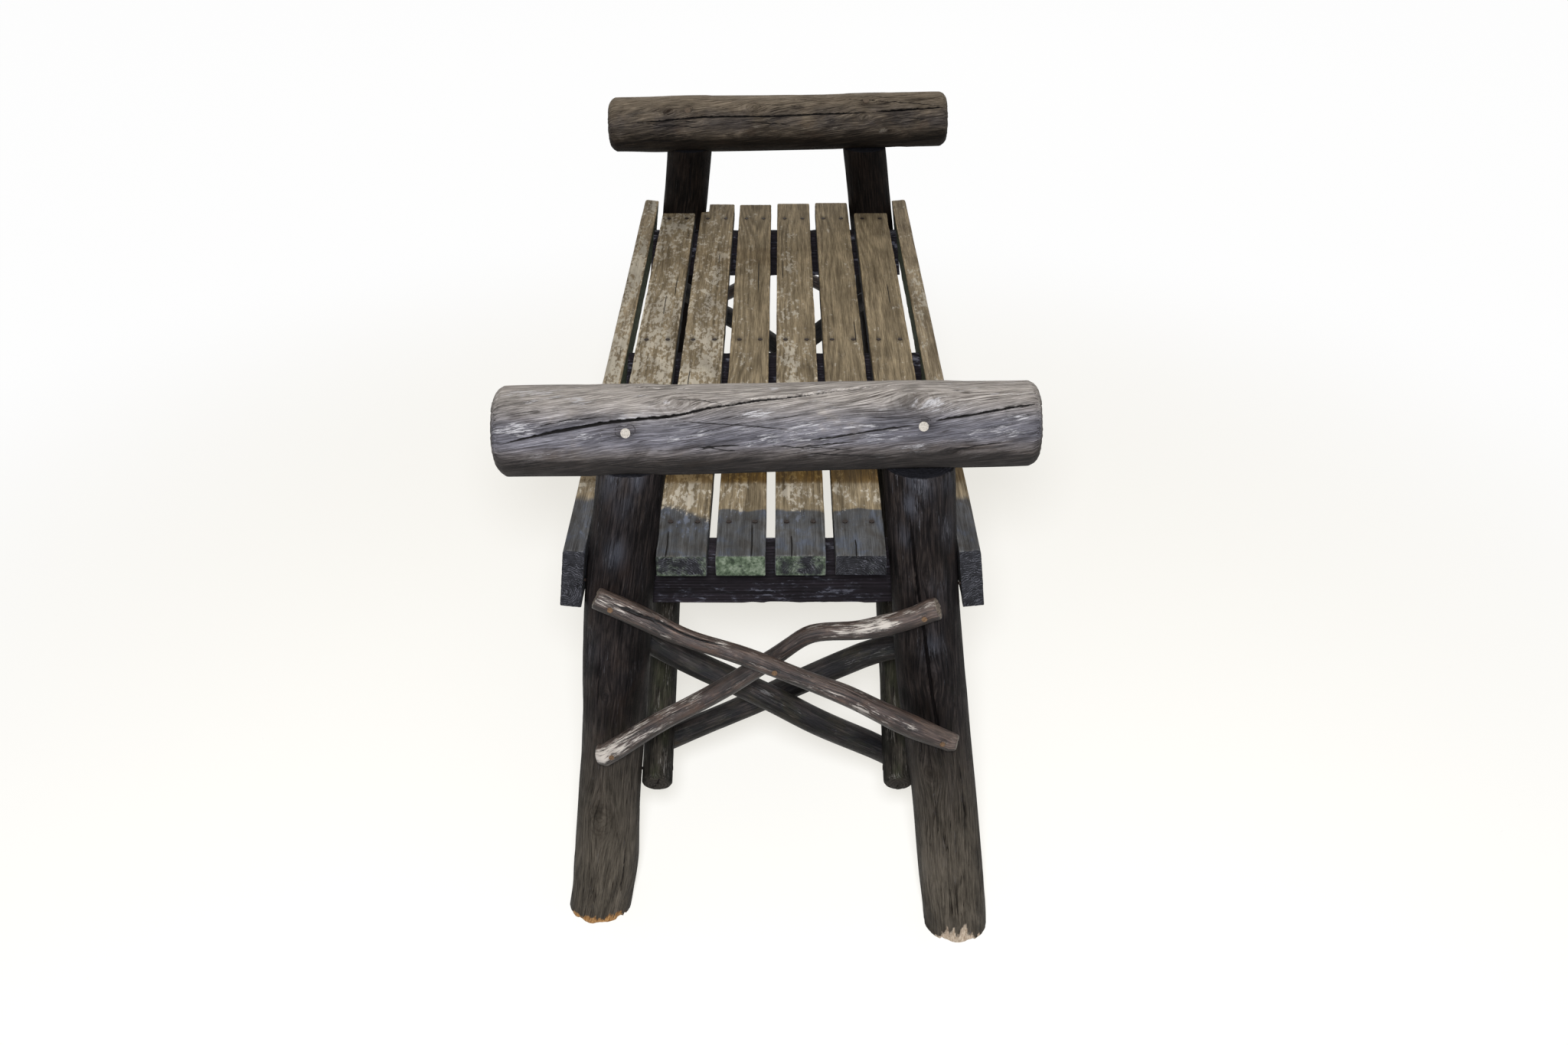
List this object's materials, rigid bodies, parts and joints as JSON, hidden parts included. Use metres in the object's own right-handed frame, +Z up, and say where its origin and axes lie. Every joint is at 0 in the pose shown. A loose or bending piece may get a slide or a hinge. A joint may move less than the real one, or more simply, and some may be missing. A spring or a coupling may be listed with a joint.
{
  "type": "rustic log bench",
  "caption": "Long rustic bench with a slatted seat between two log arms, splayed log legs, crossed branches at both ends and round knee braces under the seat.",
  "frame": {"origin": "middle of the bench at floor level", "axes": "+X across the seat, to the right when seen from the near arm; +Y along the seat to the far arm; +Z up"},
  "size_m": [0.4891, 1.0986, 0.6254],
  "materials": {
    "arm_wood": "weathered grey-brown log with bark off, silver flecks and drying cracks",
    "leg_wood": "very dark weathered log, torn pale wood at the foot",
    "slat_wood": "sawn board, olive-brown with worn patches of pale paint, green with algae at the ends",
    "rail_wood": "sawn board, olive-brown, pale paint worn off the top edge",
    "bearer_wood": "dark sawn board",
    "brace_wood": "dark round pole with a green tinge",
    "outer_branch_wood": "peeled branch, brown, polished pale on its worn ridges",
    "inner_branch_wood": "peeled branch, dark brown with a green tinge",
    "peg_wood": "end grain of a round peg",
    "nail_steel": "rusty wire nail with a flat head"
  },
  "bodies": {
    "root": {"arm_log_far": "arm_wood", "arm_log_near": "arm_wood", "arm_pegs_far": "peg_wood", "arm_pegs_near": "peg_wood", "bearer_far": "bearer_wood", "bearer_middle": "bearer_wood", "bearer_near": "bearer_wood", "inner_branch_falling_far": "inner_branch_wood", "inner_branch_falling_near": "inner_branch_wood", "inner_branch_rising_far": "inner_branch_wood", "inner_branch_rising_near": "inner_branch_wood", "inner_cross_nails_far": "nail_steel", "inner_cross_nails_near": "nail_steel", "knee_brace_far_left": "brace_wood", "knee_brace_far_right": "brace_wood", "knee_brace_nails": "nail_steel", "knee_brace_near_left": "brace_wood", "knee_brace_near_right": "brace_wood", "leg_far_left": "leg_wood", "leg_far_right": "leg_wood", "leg_near_left": "leg_wood", "leg_near_right": "leg_wood", "outer_branch_falling_far": "outer_branch_wood", "outer_branch_falling_near": "outer_branch_wood", "outer_branch_rising_far": "outer_branch_wood", "outer_branch_rising_near": "outer_branch_wood", "outer_cross_nails_far": "nail_steel", "outer_cross_nails_near": "nail_steel", "rail_nails_left": "nail_steel", "rail_nails_right": "nail_steel", "seat_slat_1": "slat_wood", "seat_slat_2": "slat_wood", "seat_slat_3": "slat_wood", "seat_slat_4": "slat_wood", "seat_slat_5": "slat_wood", "seat_slat_6": "slat_wood", "side_rail_left": "rail_wood", "side_rail_right": "rail_wood", "slat_nails_far": "nail_steel", "slat_nails_middle": "nail_steel", "slat_nails_near": "nail_steel"}
  },
  "joints": []
}
